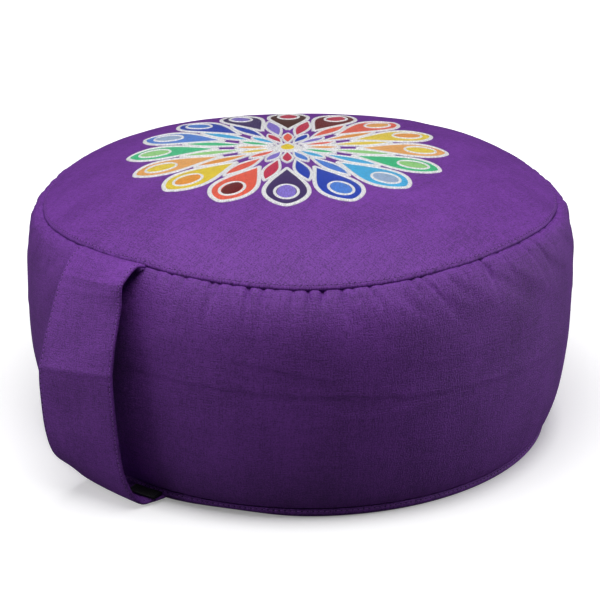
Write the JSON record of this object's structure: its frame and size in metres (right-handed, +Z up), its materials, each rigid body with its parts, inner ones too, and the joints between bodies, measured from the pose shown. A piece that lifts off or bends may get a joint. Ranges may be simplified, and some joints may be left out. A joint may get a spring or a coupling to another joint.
{
  "type": "zafu meditation cushion",
  "caption": "Round filled floor cushion with a crowned embroidered top, gathered side band, turned-up base and a hand strap at its side.",
  "frame": {"origin": "centre of the round resting face, on the surface it rests on", "axes": "+Z up through the middle of the crown; the hand strap is on the -Y side, and the hand goes through along X"},
  "size_m": [0.3299, 0.3534, 0.166],
  "materials": {
    "panel_cotton": "plain-weave purple cotton, matt with a faint sheen",
    "band_cotton": "plain-weave purple cotton, gathered at the top seam",
    "strap_cotton": "doubled plain-weave purple cotton, topstitched along both edges",
    "label_tape": "black woven tape, bare"
  },
  "bodies": {
    "root": {"top_panel": "panel_cotton", "side_band": "band_cotton", "bottom_panel": "panel_cotton", "handle_strap": "strap_cotton", "side_label": "label_tape"}
  },
  "joints": []
}
